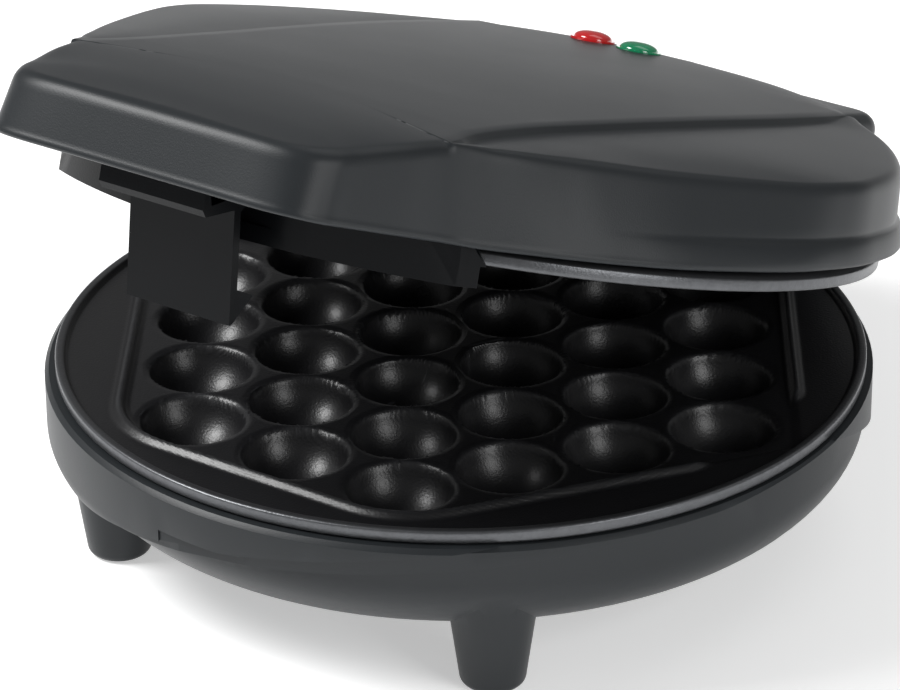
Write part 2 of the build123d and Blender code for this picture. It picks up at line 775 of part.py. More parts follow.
with BuildPart() as lid_inner_frame:
    with BuildSketch(level(frame_ring_bottom)):
        Circle(frame_ring_outer)
        Circle(frame_ring_inner, mode=Mode.SUBTRACT)
    extrude(amount=frame_ring_top - frame_ring_bottom)
    add(panel_band.part)
    with BuildSketch(level(plate_skirt_depth + closing_gap)):
        for x, y in foot_places:
            angle = Vector(x, y).get_signed_angle(Vector(1, 0), Vector(0, 0, -1))
            reach = Vector(x, y).length
            with Locations(Location((x, y), angle)):
                Circle(lug_radius)
                with Locations(((frame_ring_inner + 1 - reach) / 2, 0)):
                    Rectangle(frame_ring_inner + 1 - reach, 2 * lug_radius)
    extrude(amount=frame_wall)
    with BuildSketch(level(plate_skirt_depth)):
        with Locations(*foot_places):
            Circle(screw_radius + screw_gap)
    extrude(amount=2 * frame_wall, mode=Mode.SUBTRACT)
    for x, y, top in lid_screw_posts[2:]:
        with BuildSketch(level(web_height)):
            with Locations((x, y)):
                Circle(lid_boss_radius + 0.6)
            with Locations((x, (y + frame_ring_inner) / 2)):
                Rectangle(2 * lid_boss_radius, y - frame_ring_inner + 6)
            Circle(frame_ring_inner, mode=Mode.SUBTRACT)
        extrude(amount=frame_wall)
    with BuildSketch(level(apron_bottom)):
        Circle(apron_arc_radius)
        Circle(apron_arc_radius - frame_wall, mode=Mode.SUBTRACT)
        wedge = polar(2 * apron_arc_radius, 270 + apron_arc_half_angle)
        Polygon((0, 0), wedge, (-wedge[0], wedge[1]), align=None, mode=Mode.INTERSECT)
    extrude(amount=web_height - apron_bottom)
    with BuildSketch(level(apron_return_bottom)):
        for side in (-1, 1):
            with Locations(Location((0, 0), 270 + side * apron_arc_half_angle)):
                with Locations(((apron_arc_radius + apron_return_radius) / 2 - 0.5, -side * frame_wall / 2)):
                    Rectangle(apron_arc_radius - apron_return_radius - 1, frame_wall)
    extrude(amount=web_height - apron_return_bottom)
    with BuildSketch(level(web_height)):
        with Locations((0, -(pocket_front + pocket_rear) / 2)):
            Rectangle(2 * (pocket_half_width + pocket_wall), pocket_front - pocket_rear + 2 * pocket_wall)
    extrude(amount=pocket_height + pocket_wall - web_height)
    with BuildSketch(level(0)):
        with Locations((0, -(pocket_front + pocket_rear) / 2)):
            Rectangle(2 * pocket_half_width, pocket_front - pocket_rear)
    extrude(amount=pocket_height, mode=Mode.SUBTRACT)
    with Locations(Location((0, latch_pivot_y, rim_height + latch_pivot_z), (0, 90, 0))):
        Cylinder(latch_pin_radius, 2 * (pocket_half_width + pocket_wall), mode=Mode.SUBTRACT)
    with BuildSketch(level(0)):
        with Locations(*[(x, y) for x, y, top in lid_screw_posts]):
            Circle(screw_radius + screw_gap)
    extrude(amount=pocket_height, mode=Mode.SUBTRACT)
lid_inner_frame.part.label = "lid_inner_frame"

with BuildPart() as latch_pin:
    with Locations(Location((0, latch_pivot_y, rim_height + latch_pivot_z), (0, 90, 0))):
        Cylinder(latch_pin_radius, 2 * (pocket_half_width + pocket_wall))
latch_pin.part.label = "latch_pin"

# Latch: a plate that hangs from its pin, with a hook below and a finger grip in front
lean = radians(latch_lean)
latch_plane = Plane(
    (0, latch_pivot_y, rim_height + latch_pivot_z), x_dir=(0, -cos(lean), -sin(lean)), z_dir=(-1, 0, 0),
)
with BuildPart() as latch:
    with BuildSketch(latch_plane):
        Circle(latch_barrel_radius)
        Polygon(
            (0, latch_barrel_radius), (latch_face - latch_wall, -latch_bend + grip_thickness),
            (grip_front - grip_thickness, -latch_bend + grip_thickness),
            (grip_front - grip_thickness + 0.8, grip_rise), (grip_front - 1, grip_rise),
            (grip_front, -latch_bend / 2), (grip_front - 1.2, 1 - latch_bend),
            (latch_face, -latch_bend), (latch_face, -latch_bottom),
            (latch_face - 1, -latch_bottom), (hook_tip_forward, -hook_tip_down),
            (latch_face - latch_wall, -hook_root_down), (latch_face - latch_wall, -latch_bend - 1),
            (0, -latch_barrel_radius), align=None,
        )
        Circle(latch_pin_radius + running_gap, mode=Mode.SUBTRACT)
    extrude(amount=latch_width / 2, both=True)
    fillet(latch.edges().filter_by(GeomType.LINE).filter_by(Axis.X).group_by(Axis.Y)[0], 1)
latch.part.label = "latch"

upper_screw_seat = rim_height + plate_skirt_depth + closing_gap + frame_wall
upper_plate_screws = screws(foot_places, upper_screw_seat, frame_wall + screw_hold, False)
upper_plate_screws.part.label = "upper_plate_screws"
lid_screws = screws(
    [(x, y) for x, y, top in lid_screw_posts], rim_height + web_height, frame_wall + lid_screw_hold, True,
)
lid_screws.part.label = "lid_screws"


def lens(place):
    # clear dome with a flange that seats in the deck and a stem through the wall
    with BuildPart() as piece:
        with BuildSketch(upright):
            with BuildLine():
                Polyline(
                    (0, lamp_seat - lens_stem_length),
                    (lens_stem_radius - running_gap, lamp_seat - lens_stem_length),
                    (lens_stem_radius - running_gap, lamp_seat), (lens_flange_radius, lamp_seat),
                    (lens_flange_radius, lamp_seat + lens_flange_height),
                    (lens_dome_radius, lamp_seat + lens_flange_height),
                )
                EllipticalCenterArc(
                    (lens_tip_radius, lamp_seat + lens_flange_height),
                    lens_dome_radius - lens_tip_radius, lens_dome_height, start_angle=0, arc_size=90,
                )
                Polyline(
                    (lens_tip_radius, lamp_seat + lens_flange_height + lens_dome_height),
                    (0, lamp_seat + lens_flange_height + lens_dome_height),
                    (0, lamp_seat - lens_stem_length),
                )
            make_face()
        revolve(axis=plate_axis)
    piece.part.move(Location((*place, 0)))
    return piece


def lamp(place):
    # indicator bulb lying behind its lens
    with BuildPart() as piece:
        with Locations(Location(
            (*place, rim_height + lamp_seat - lens_stem_length - lamp_bulb_radius), (90, 0, 0),
        )):
            Cylinder(lamp_bulb_radius, lamp_bulb_length)
        chamfer(piece.edges(), 0.3 * lamp_bulb_radius)
    return piece


red_lens = lens(lamp_places[0])
red_lens.part.label = "red_lens"
green_lens = lens(lamp_places[1])
green_lens.part.label = "green_lens"
red_lamp = lamp(lamp_places[0])
red_lamp.part.label = "red_lamp"
green_lamp = lamp(lamp_places[1])
green_lamp.part.label = "green_lamp"

# Places at rest: the lid and its latch stand open about the hinge axis
base_pose = Location((0, centre_offset_y, 0))
lid_pose = Location(
    (0, hinge_y + centre_offset_y, rim_height), (-lid_angle_at_rest, 0, 0),
) * Location((0, -hinge_y, -rim_height))
base_pieces = [
    base_housing, lower_plate, lower_heating_element, lower_element_clamps, lower_reflector,
    lower_thermostat, thermal_fuse, terminal_block, base_leads, cord_gland, lower_plate_screws,
    hinge_pins,
]
lid_pieces = [
    lid_cover, lid_inner_frame, upper_plate, upper_heating_element, upper_element_clamps,
    upper_reflector, upper_thermostat, red_lens, green_lens, red_lamp, green_lamp,
    upper_plate_screws, lid_screws, latch_pin, latch,
]
for pieces, pose in ((base_pieces, base_pose), (lid_pieces, lid_pose)):
    for piece in pieces:
        piece.part.move(pose)
        export_step(piece.part, f"parts/{piece.part.label}.step")
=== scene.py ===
"""Looks of a bubble waffle maker: finishes, cast plates, smooth lid, softened mouldings, studio."""

import json
import math

import bmesh
import bpy
from mathutils import Matrix, Vector


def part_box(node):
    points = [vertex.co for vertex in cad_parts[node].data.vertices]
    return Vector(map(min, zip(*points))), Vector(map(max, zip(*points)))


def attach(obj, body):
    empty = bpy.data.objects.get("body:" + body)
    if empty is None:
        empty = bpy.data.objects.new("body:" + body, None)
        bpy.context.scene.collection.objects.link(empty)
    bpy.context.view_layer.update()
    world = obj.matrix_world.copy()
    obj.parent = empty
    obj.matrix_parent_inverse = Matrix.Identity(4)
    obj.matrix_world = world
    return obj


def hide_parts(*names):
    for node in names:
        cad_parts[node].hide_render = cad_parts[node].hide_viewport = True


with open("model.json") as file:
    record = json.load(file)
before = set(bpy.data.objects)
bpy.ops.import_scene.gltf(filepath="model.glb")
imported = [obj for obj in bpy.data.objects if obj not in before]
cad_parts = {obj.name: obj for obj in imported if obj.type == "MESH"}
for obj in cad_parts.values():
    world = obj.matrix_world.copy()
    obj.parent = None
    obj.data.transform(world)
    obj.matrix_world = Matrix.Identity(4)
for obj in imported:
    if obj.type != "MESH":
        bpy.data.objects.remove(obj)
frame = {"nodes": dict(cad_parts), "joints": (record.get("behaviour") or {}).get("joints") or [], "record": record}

bl_info = {
    "name": "Bubble waffle maker looks",
    "version": (1, 0, 0),
    "blender": (4, 5, 0),
    "location": "View3D > Sidebar > Waffle Maker",
    "description": "Finishes, cast plates and studio for a bubble waffle maker",
    "category": "Object",
}

MM = 0.001


def joint_place(name):
    for joint in frame["joints"]:
        if joint["name"] == name:
            return Vector(joint["pos_m"])
    raise RuntimeError(f"no joint called {name}")


LOWER_PLATE_LOW, LOWER_PLATE_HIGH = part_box("lower_plate")
RIM_HEIGHT = LOWER_PLATE_HIGH.z
PLATE_CENTRE = Vector((
    (LOWER_PLATE_LOW.x + LOWER_PLATE_HIGH.x) / 2, (LOWER_PLATE_LOW.y + LOWER_PLATE_HIGH.y) / 2, RIM_HEIGHT,
))
PLATE_RADIUS = (LOWER_PLATE_HIGH.x - LOWER_PLATE_LOW.x) / 2
HINGE = joint_place("lid_hinge")


class WAFFLE_PG_sizes(bpy.types.PropertyGroup):
    """Sizes that the visual pieces are built from."""

    cup_pitch: bpy.props.FloatProperty(
        name="Cup pitch", description="Cup to cup along a row", default=33.6 * MM,
        subtype="DISTANCE", unit="LENGTH", precision=4)
    cup_row_spacing: bpy.props.FloatProperty(
        name="Row spacing", description="Row to row of cups", default=25.0 * MM,
        subtype="DISTANCE", unit="LENGTH", precision=4)
    cup_radius: bpy.props.FloatProperty(
        name="Cup radius", description="Radius of a cup at its mouth", default=13.9 * MM,
        subtype="DISTANCE", unit="LENGTH", precision=4)
    cup_depth: bpy.props.FloatProperty(
        name="Cup depth", description="Depth of a cup below the field", default=12.3 * MM,
        subtype="DISTANCE", unit="LENGTH", precision=4)
    front_field: bpy.props.FloatProperty(
        name="Front bead", description="Centre to the outside of the front bead", default=95.3 * MM,
        subtype="DISTANCE", unit="LENGTH", precision=4)
    slant_field: bpy.props.FloatProperty(
        name="Slanted bead", description="Centre to the outside of a slanted bead", default=92.1 * MM,
        subtype="DISTANCE", unit="LENGTH", precision=4)
    slant_angle: bpy.props.FloatProperty(
        name="Slant", description="Direction of the slanted beads' normals from X",
        default=math.radians(33.84), subtype="ANGLE", unit="ROTATION")
    edge_softness: bpy.props.FloatProperty(
        name="Edge softness", description="Rounding along the moulded edges", default=0.8 * MM,
        subtype="DISTANCE", unit="LENGTH", precision=4)
    lid_opening: bpy.props.FloatProperty(
        name="Lid opening", description="How far the lid stands open at rest",
        default=math.radians(17.7), subtype="ANGLE", unit="ROTATION")


class WAFFLE_PG_colours(bpy.types.PropertyGroup):
    """Colours of the finishes."""

    housing: bpy.props.FloatVectorProperty(
        name="Housing", description="Charcoal soft-touch plastic", default=(0.0185, 0.0212, 0.0236),
        subtype="COLOR", size=3, min=0, max=1)
    trim: bpy.props.FloatVectorProperty(
        name="Trim", description="Black plastic of the latch and inner frame",
        default=(0.0045, 0.005, 0.0058), subtype="COLOR", size=3, min=0, max=1)
    coating: bpy.props.FloatVectorProperty(
        name="Coating", description="Non-stick coating of the plates", default=(0.008, 0.008, 0.009),
        subtype="COLOR", size=3, min=0, max=1)
    bare_edge: bpy.props.FloatVectorProperty(
        name="Bare edge", description="Machined edge of the plates", default=(0.16, 0.165, 0.175),
        subtype="COLOR", size=3, min=0, max=1)
    red: bpy.props.FloatVectorProperty(
        name="Red lens", description="Power lamp's lens", default=(0.50, 0.010, 0.012),
        subtype="COLOR", size=3, min=0, max=1)
    green: bpy.props.FloatVectorProperty(
        name="Green lens", description="Ready lamp's lens", default=(0.004, 0.20, 0.085),
        subtype="COLOR", size=3, min=0, max=1)


def sizes():
    return bpy.context.scene.waffle_sizes


def colours():
    return bpy.context.scene.waffle_colours


# Shader groups

def new_group(name, inputs, outputs):
    # empty shader group with float inputs and outputs given as (name, kind, default)
    group = bpy.data.node_groups.new(name, "ShaderNodeTree")
    for socket_name, kind, default in inputs:
        socket = group.interface.new_socket(socket_name, in_out="INPUT", socket_type=kind)
        socket.default_value = default
    for socket_name, kind in outputs:
        group.interface.new_socket(socket_name, in_out="OUTPUT", socket_type=kind)
    start = group.nodes.new("NodeGroupInput")
    end = group.nodes.new("NodeGroupOutput")
    return group, start, end


def math_node(tree, operation, first, second, clamp=False):
    node = tree.nodes.new("ShaderNodeMath")
    node.operation = operation
    node.use_clamp = clamp
    for index, value in enumerate((first, second)):
        if isinstance(value, (int, float)):
            node.inputs[index].default_value = value
        else:
            tree.links.new(value, node.inputs[index])
    return node.outputs[0]


def noise(tree, scale, detail, vector=None, roughness=0.55):
    node = tree.nodes.new("ShaderNodeTexNoise")
    node.inputs["Detail"].default_value = detail
    node.inputs["Roughness"].default_value = roughness
    if isinstance(scale, (int, float)):
        node.inputs["Scale"].default_value = scale
    else:
        tree.links.new(scale, node.inputs["Scale"])
    if vector is not None:
        tree.links.new(vector, node.inputs["Vector"])
    return node.outputs["Fac"]


def ramp(tree, value, low, high):
    node = tree.nodes.new("ShaderNodeMapRange")
    node.inputs["From Min"].default_value = low
    node.inputs["From Max"].default_value = high
    tree.links.new(value, node.inputs["Value"])
    return node.outputs["Result"]


def mix_colour(tree, factor, first, second):
    node = tree.nodes.new("ShaderNodeMix")
    node.data_type = "RGBA"
    tree.links.new(factor, node.inputs["Factor"])
    for name, value in (("A", first), ("B", second)):
        socket = [s for s in node.inputs if s.name == name and s.type == "RGBA"][0]
        if isinstance(value, bpy.types.NodeSocket):
            tree.links.new(value, socket)
        else:
            socket.default_value = (*value, 1)
    return [s for s in node.outputs if s.type == "RGBA"][0]


def moulded_grain_group():
    # fine eroded texture of a moulded surface with slow patches of gloss
    group, start, end = new_group(
        "Moulded grain",
        [("Grain Scale", "NodeSocketFloat", 2600.0), ("Patch Scale", "NodeSocketFloat", 14.0),
         ("Base Roughness", "NodeSocketFloat", 0.45), ("Roughness Spread", "NodeSocketFloat", 0.06)],
        [("Height", "NodeSocketFloat"), ("Roughness", "NodeSocketFloat"), ("Patch", "NodeSocketFloat")],
    )
    place = group.nodes.new("ShaderNodeTexCoord").outputs["Object"]
    fine = noise(group, start.outputs["Grain Scale"], 2.0, place)
    patch = noise(group, start.outputs["Patch Scale"], 4.0, place)
    centred = math_node(group, "SUBTRACT", patch, 0.5)
    spread = math_node(group, "MULTIPLY", centred, start.outputs["Roughness Spread"])
    doubled = math_node(group, "MULTIPLY", spread, 2.0)
    rough = math_node(group, "ADD", start.outputs["Base Roughness"], doubled, clamp=True)
    group.links.new(fine, end.inputs["Height"])
    group.links.new(rough, end.inputs["Roughness"])
    group.links.new(patch, end.inputs["Patch"])
    return group


def edge_highlight_group():
    # mask of a painted highlight along convex edges, from the surface's own curvature
    group, start, end = new_group(
        "Painted edge highlight",
        [("Low", "NodeSocketFloat", 0.52), ("High", "NodeSocketFloat", 0.62),
         ("Breakup Scale", "NodeSocketFloat", 90.0), ("Amount", "NodeSocketFloat", 0.3)],
        [("Mask", "NodeSocketFloat")],
    )
    place = group.nodes.new("ShaderNodeTexCoord").outputs["Object"]
    curve = group.nodes.new("ShaderNodeNewGeometry").outputs["Pointiness"]
    spread = group.nodes.new("ShaderNodeMapRange")
    group.links.new(curve, spread.inputs["Value"])
    group.links.new(start.outputs["Low"], spread.inputs["From Min"])
    group.links.new(start.outputs["High"], spread.inputs["From Max"])
    broken = noise(group, start.outputs["Breakup Scale"], 5.0, place)
    mask = math_node(group, "MULTIPLY", spread.outputs["Result"], broken)
    scaled = math_node(group, "MULTIPLY", mask, start.outputs["Amount"], clamp=True)
    group.links.new(scaled, end.inputs["Mask"])
    return group


def shader_group(name, builder):
    return bpy.data.node_groups.get(name) or builder()


def new_material(name):
    material = bpy.data.materials.new(name)
    material.use_nodes = True
    tree = material.node_tree
    return material, tree, tree.nodes["Principled BSDF"]


def place_group(tree, group, **values):
    node = tree.nodes.new("ShaderNodeGroup")
    node.node_tree = group
    for name, value in values.items():
        node.inputs[name.replace("_", " ")].default_value = value
    return node


def add_bump(tree, shader, height, strength, distance):
    bump = tree.nodes.new("ShaderNodeBump")
    bump.inputs["Strength"].default_value = strength
    bump.inputs["Distance"].default_value = distance
    tree.links.new(height, bump.inputs["Height"])
    tree.links.new(bump.outputs["Normal"], shader.inputs["Normal"])
    return bump


def moulded_plastic(name, colour, roughness, grain, lift, highlight_amount, gloss=0.5):
    # plastic with a fine grain, patchy gloss and a painted highlight that makes its convex edges paler
    material, tree, shader = new_material(name)
    grain_node = place_group(
        tree, shader_group("Moulded grain", moulded_grain_group),
        Grain_Scale=grain, Base_Roughness=roughness, Roughness_Spread=0.05,
    )
    # painted highlight: convex edges are mixed towards a paler colour
    highlight_node = place_group(tree, shader_group("Painted edge highlight", edge_highlight_group), Amount=highlight_amount)
    edge_highlight_colour = tuple(min(1.0, channel * lift) for channel in colour)
    patchy = mix_colour(tree, grain_node.outputs["Patch"], colour, tuple(c * 1.08 for c in colour))
    with_edge_highlight = mix_colour(tree, highlight_node.outputs["Mask"], patchy, edge_highlight_colour)
    tree.links.new(with_edge_highlight, shader.inputs["Base Color"])
    tree.links.new(grain_node.outputs["Roughness"], shader.inputs["Roughness"])
    shader.inputs["Specular IOR Level"].default_value = gloss
    add_bump(tree, shader, grain_node.outputs["Height"], 0.25, 0.00012)
    return material


def coated_casting(name, colour, edge_colour, edge_from):
    # non-stick coating with a fine pebble, and bare brushed metal round the outer edge
    material, tree, shader = new_material(name)
    place = tree.nodes.new("ShaderNodeTexCoord").outputs["Object"]
    grain_node = place_group(
        tree, shader_group("Moulded grain", moulded_grain_group),
        Grain_Scale=1500.0, Patch_Scale=22.0, Base_Roughness=0.34, Roughness_Spread=0.09,
    )
    # painted highlight: convex edges are mixed towards the pale edge colour
    highlight_node = place_group(tree, shader_group("Painted edge highlight", edge_highlight_group), Amount=0.5)
    speck = ramp(tree, noise(tree, 900.0, 3.0, place, 0.7), 0.62, 0.70)
    speckled = mix_colour(tree, speck, colour, tuple(c * 1.9 for c in colour))
    attribute = tree.nodes.new("ShaderNodeAttribute")
    attribute.attribute_name = "bare_edge"
    scratch = noise(tree, 420.0, 6.0, place, 0.75)
    scratched = mix_colour(tree, scratch, tuple(c * 0.45 for c in edge_colour), edge_colour)
    bare = mix_colour(tree, attribute.outputs["Fac"], speckled, scratched)
    with_edge_highlight = mix_colour(tree, highlight_node.outputs["Mask"], bare, edge_colour)
    tree.links.new(with_edge_highlight, shader.inputs["Base Color"])
    tree.links.new(grain_node.outputs["Roughness"], shader.inputs["Roughness"])
    metal = math_node(tree, "MULTIPLY", attribute.outputs["Fac"], edge_from, clamp=True)
    tree.links.new(metal, shader.inputs["Metallic"])
    add_bump(tree, shader, grain_node.outputs["Height"], 0.35, 0.0002)
    return material


def sheet_metal(name, colour, roughness, stretch):
    # rolled or drawn metal with fine lines along one way
    material, tree, shader = new_material(name)
    coordinates = tree.nodes.new("ShaderNodeTexCoord").outputs["Object"]
    mapping = tree.nodes.new("ShaderNodeMapping")
    mapping.inputs["Scale"].default_value = stretch
    tree.links.new(coordinates, mapping.inputs["Vector"])
    lines = noise(tree, 300.0, 4.0, mapping.outputs["Vector"], 0.6)
    tree.links.new(
        mix_colour(tree, lines, tuple(c * 0.8 for c in colour), colour), shader.inputs["Base Color"])
    shader.inputs["Metallic"].default_value = 1.0
    spread = math_node(tree, "MULTIPLY", lines, 0.2)
    tree.links.new(math_node(tree, "ADD", spread, roughness - 0.1), shader.inputs["Roughness"])
    add_bump(tree, shader, lines, 0.15, 0.0001)
    return material


def lens_plastic(name, colour, glow):
    # tinted clear plastic with a lit core that is brightest in patches
    material, tree, shader = new_material(name)
    place = tree.nodes.new("ShaderNodeTexCoord").outputs["Object"]
    cloud = noise(tree, 160.0, 3.0, place)
    deep = tuple(c * 0.55 for c in colour)
    tree.links.new(mix_colour(tree, cloud, deep, colour), shader.inputs["Base Color"])
    shader.inputs["Roughness"].default_value = 0.08
    shader.inputs["IOR"].default_value = 1.49
    shader.inputs["Coat Weight"].default_value = 1.0
    shader.inputs["Coat Roughness"].default_value = 0.03
    shader.inputs["Subsurface Weight"].default_value = 0.25
    shader.inputs["Subsurface Radius"].default_value = (0.004, 0.002, 0.002)
    tree.links.new(mix_colour(tree, cloud, deep, colour), shader.inputs["Emission Color"])
    shader.inputs["Emission Strength"].default_value = glow
    return material


def clear_glass(name):
    material, tree, shader = new_material(name)
    shader.inputs["Base Color"].default_value = (0.92, 0.90, 0.86, 1)
    shader.inputs["Transmission Weight"].default_value = 0.9
    shader.inputs["IOR"].default_value = 1.5
    place = tree.nodes.new("ShaderNodeTexCoord").outputs["Object"]
    smear = noise(tree, 60.0, 3.0, place)
    tree.links.new(math_node(tree, "MULTIPLY", smear, 0.12), shader.inputs["Roughness"])
    return material


def finishes():
    """All finishes by the record's slot name."""
    colour = colours()
    housing = tuple(colour.housing)
    trim = tuple(colour.trim)
    return {
        "charcoal_plastic": moulded_plastic("Charcoal soft-touch", housing, 0.40, 2400.0, 2.6, 0.35, 0.28),
        "black_plastic": moulded_plastic("Black trim plastic", trim, 0.34, 2000.0, 3.0, 0.3, 0.1),
        "nonstick_coating": coated_casting(
            "Non-stick casting", tuple(colour.coating), tuple(colour.bare_edge), 0.75),
        "element_steel": sheet_metal("Heat-darkened element", (0.20, 0.18, 0.17), 0.45, (1, 1, 6)),
        "plain_steel": sheet_metal("Plain steel", (0.46, 0.46, 0.47), 0.38, (1, 8, 1)),
        "bright_aluminium": sheet_metal("Bright aluminium", (0.72, 0.73, 0.74), 0.30, (8, 1, 1)),
        "ceramic": moulded_plastic("Ceramic", (0.62, 0.59, 0.52), 0.5, 900.0, 1.2, 0.1),
        "lead_sleeve": moulded_plastic("Lead sleeve", (0.55, 0.53, 0.48), 0.6, 1400.0, 1.2, 0.1),
        "black_rubber": moulded_plastic("Gland rubber", (0.016, 0.016, 0.016), 0.65, 1200.0, 2.0, 0.2),
        "screw_steel": sheet_metal("Screw steel", (0.50, 0.50, 0.51), 0.30, (6, 6, 1)),
        "red_lens": lens_plastic("Red lens", tuple(colour.red), 0.35),
        "green_lens": lens_plastic("Green lens", tuple(colour.green), 0.30),
        "lamp_glass": clear_glass("Lamp glass"),
    }


FINISH = {}


def finish_for(slot_name):
    if not FINISH:
        FINISH.update(finishes())
    return FINISH[slot_name]


def slot_of(node_name):
    for part in frame["record"]["subparts"]:
        if part["node"] == node_name:
            return part["material_slot"]
    raise RuntimeError(f"no slot for {node_name}")


def body_of_node(node_name):
    for body, names in frame["record"]["behaviour"]["bodies"].items():
        if node_name in names:
            return body
    raise RuntimeError(f"no body for {node_name}")


def paint_node(node_name):
    node = frame["nodes"][node_name]
    finish = finish_for(slot_of(node_name))
    if not node.material_slots:
        node.data.materials.append(finish)
    for slot in node.material_slots:
        slot.link = "OBJECT"
        slot.material = finish
    return node


def soften(obj, width, segments=3):
    # rounds the moulded edges of a node for the light to catch
    weld = obj.modifiers.new("Join facets", "WELD")
    weld.merge_threshold = 0.00002
    bevel = obj.modifiers.new("Soft edges", "BEVEL")
    bevel.width = width
    bevel.segments = segments
    bevel.limit_method = "ANGLE"
    bevel.angle_limit = math.radians(32)
    bevel.use_clamp_overlap = True
    bevel.harden_normals = False
    return obj


def shade_by_angle(obj, angle=35.0):
    bpy.ops.object.select_all(action="DESELECT")
    obj.select_set(True)
    bpy.context.view_layer.objects.active = obj
    bpy.ops.object.shade_auto_smooth(angle=math.radians(angle))
    return obj


# Cast plates

def smooth_step(low, high, value):
    t = min(1.0, max(0.0, (value - low) / (high - low)))
    return t * t * (3 - 2 * t)


def cup_centres():
    size = sizes()
    places = []
    for row in range(-3, 4):
        cups = 6 - abs(row)
        for cup in range(cups):
            places.append(((cup - (cups - 1) / 2) * size.cup_pitch, row * size.cup_row_spacing))
    return places


def smooth_least(first, second, reach):
    # the smaller of two distances, rounded where they meet
    blend = max(0.0, reach - abs(first - second)) / reach
    return min(first, second) - blend * blend * reach / 4


def field_height(x, y, centres, size):
    # height of the cast face at a point, below the rim plane
    gutter = -1.7 * MM
    field = -2.5 * MM
    bead = 4.6 * MM
    slant = size.slant_field - abs(x) * math.cos(size.slant_angle) - abs(y) * math.sin(size.slant_angle)
    inside = smooth_least(size.front_field - abs(y), slant, 14 * MM)
    bead_left = 1 - smooth_step(91 * MM, 94 * MM, abs(x))
    up = smooth_step(0.0, 2.0 * MM, inside)
    down = smooth_step(bead - 2.2 * MM, bead, inside)
    height = gutter + up * (1 - down) * bead_left * -gutter
    height += down * (field - gutter)
    if inside < bead:
        return height
    reach = size.cup_radius + 1.6 * MM
    sphere = (size.cup_radius ** 2 + size.cup_depth ** 2) / (2 * size.cup_depth)
    for cx, cy in centres:
        span = math.hypot(x - cx, y - cy)
        if span < reach:
            below = math.sqrt(max(0.0, sphere ** 2 - min(span, sphere) ** 2)) - (sphere - size.cup_depth)
            wall = -below if span < sphere else (span - sphere)
            height = field + smooth_least(0.0, wall, 2.4 * MM)
            break
    return height


PLATE_SIDES = 720
FACE_RINGS = 150
UNDER_RINGS = 44
PLATE_WALL = 2.8 * MM
PLATE_UNDERSIDE = -5.3 * MM     # underside of the web between the cups


def on_circle(radius, side):
    turn = math.tau * side / PLATE_SIDES
    return radius * math.cos(turn), radius * math.sin(turn)


def plate_profile():
    # rings outside the cast face, as (radius, height, bare metal)
    edge = PLATE_RADIUS
    return [
        (edge - 3.2 * MM, -1.7 * MM, 0.0), (edge - 2.6 * MM, -0.5 * MM, 0.0),
        (edge - 2.2 * MM, -0.06 * MM, 0.1), (edge - 1.7 * MM, 0.0, 0.2),
        (edge - 0.8 * MM, 0.0, 0.25), (edge - 0.25 * MM, -0.12 * MM, 0.8),
        (edge, -0.55 * MM, 1.0), (edge, -1.2 * MM, 1.0), (edge, -2.8 * MM, 1.0),
        (edge - 0.2 * MM, -3.3 * MM, 0.6), (edge - 4 * MM, -3.4 * MM, 0.0),
        (edge - 4 * MM, -8.9 * MM, 0.0), (edge - 7 * MM, -8.9 * MM, 0.0),
    ]


def build_plate(name):
    # closed casting with its cups sinking below z 0, centred on the origin
    size = sizes()
    centres = cup_centres()
    rings = []
    face_edge = PLATE_RADIUS - 3.6 * MM
    for step in range(1, FACE_RINGS + 1):
        radius = face_edge * step / FACE_RINGS
        ring = []
        for side in range(PLATE_SIDES):
            x, y = on_circle(radius, side)
            ring.append((x, y, field_height(x, y, centres, size)))
        rings.append((ring, 0.0))
    for radius, height, bare in plate_profile():
        ring = [(*on_circle(radius, side), height) for side in range(PLATE_SIDES)]
        rings.append((ring, bare))
    under_edge = PLATE_RADIUS - 7 * MM
    for step in range(UNDER_RINGS, 0, -1):
        radius = under_edge * step / UNDER_RINGS
        ring = []
        for side in range(PLATE_SIDES):
            x, y = on_circle(radius, side)
            face = field_height(x, y, centres, size)
            ring.append((x, y, min(PLATE_UNDERSIDE, face - PLATE_WALL)))
        rings.append((ring, 0.0))
    top = field_height(0, 0, centres, size)
    points = [(0, 0, top)]
    bare_edge = [0.0]
    for ring, bare in rings:
        points.extend(ring)
        bare_edge.extend([bare] * PLATE_SIDES)
    points.append((0, 0, min(PLATE_UNDERSIDE, top - PLATE_WALL)))
    bare_edge.append(0.0)
    faces = []
    for side in range(PLATE_SIDES):
        after = (side + 1) % PLATE_SIDES
        faces.append((0, 1 + side, 1 + after))
    for index in range(len(rings) - 1):
        first = 1 + index * PLATE_SIDES
        second = first + PLATE_SIDES
        for side in range(PLATE_SIDES):
            after = (side + 1) % PLATE_SIDES
            faces.append((first + side, second + side, second + after, first + after))
    last = 1 + (len(rings) - 1) * PLATE_SIDES
    end = len(points) - 1
    for side in range(PLATE_SIDES):
        after = (side + 1) % PLATE_SIDES
        faces.append((end, last + after, last + side))
    mesh = bpy.data.meshes.new(name)
    mesh.from_pydata(points, [], faces)
    attribute = mesh.attributes.new("bare_edge", "FLOAT", "POINT")
    attribute.data.foreach_set("value", bare_edge)
    mesh.shade_smooth()
    obj = bpy.data.objects.new(name, mesh)
    bpy.context.scene.collection.objects.link(obj)
    return obj


def lid_matrix():
    # turns a piece drawn with the lid shut to its place at rest
    turn = Matrix.Rotation(-sizes().lid_opening, 4, "X")
    return Matrix.Translation(HINGE) @ turn @ Matrix.Translation(-HINGE)


class WAFFLE_OT_lower_plate(bpy.types.Operator):
    """Build the lower cast plate with its thirty round cups"""

    bl_idname = "waffle.lower_plate"
    bl_label = "Lower Plate"

    def execute(self, context):
        plate = build_plate("lower_cast_plate")
        plate.data.transform(Matrix.Translation(PLATE_CENTRE))
        plate.data.materials.append(finish_for("nonstick_coating"))
        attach(plate, body_of_node("lower_plate"))
        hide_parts("lower_plate")
        return {"FINISHED"}


